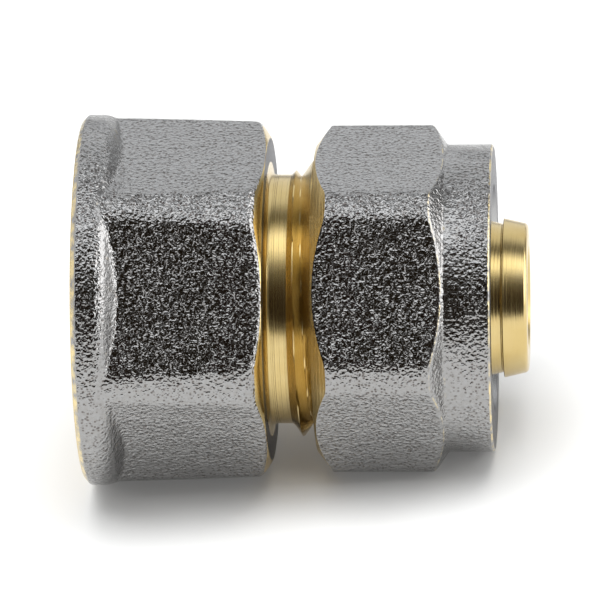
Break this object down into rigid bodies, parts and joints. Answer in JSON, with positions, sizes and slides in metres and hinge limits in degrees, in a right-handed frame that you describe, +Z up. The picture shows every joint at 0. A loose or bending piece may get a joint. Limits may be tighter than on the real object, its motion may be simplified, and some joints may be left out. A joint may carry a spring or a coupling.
{
  "type": "compression pipe coupling",
  "caption": "Screw compression coupling: a hexagon body with a threaded socket at one end and, at the other, a barbed nozzle and a hexagon nut that squeezes a split ring on to a pipe.",
  "frame": {"origin": "middle of the coupling's length, on its axis", "axes": "+X along the axis, from the threaded socket towards the nozzle; +Z up, with a flat of the nut straight down"},
  "size_m": [0.0336, 0.0282, 0.028],
  "materials": {
    "plated_brass": "shot-blasted nickel plate, with turned brass at the ends and threads",
    "bare_brass": "turned",
    "seal_rubber": "smooth matt",
    "washer_plastic": "smooth matt"
  },
  "bodies": {
    "fitting": {"fitting_body": "plated_brass", "pipe_stop": "bare_brass", "nozzle": "bare_brass", "inner_o_ring": "seal_rubber", "outer_o_ring": "seal_rubber", "insulating_washer": "washer_plastic"},
    "ring": {"split_ring": "bare_brass"},
    "nut": {"compression_nut": "plated_brass"}
  },
  "joints": [
    {"name": "ring_slide", "type": "slide", "parent": "fitting", "child": "ring", "axis": [1, 0, 0], "range_m": [-0.00182, 0.00545]},
    {"name": "nut_turn", "type": "hinge", "parent": "ring", "child": "nut", "pos_m": [0.0075, 0, 0], "axis": [1, 0, 0], "range_deg": [-360, 1080]}
  ],
  "couplings": [
    {"joint": "ring_slide", "follows": "nut_turn", "m_per_rad": 0.00028871}
  ]
}
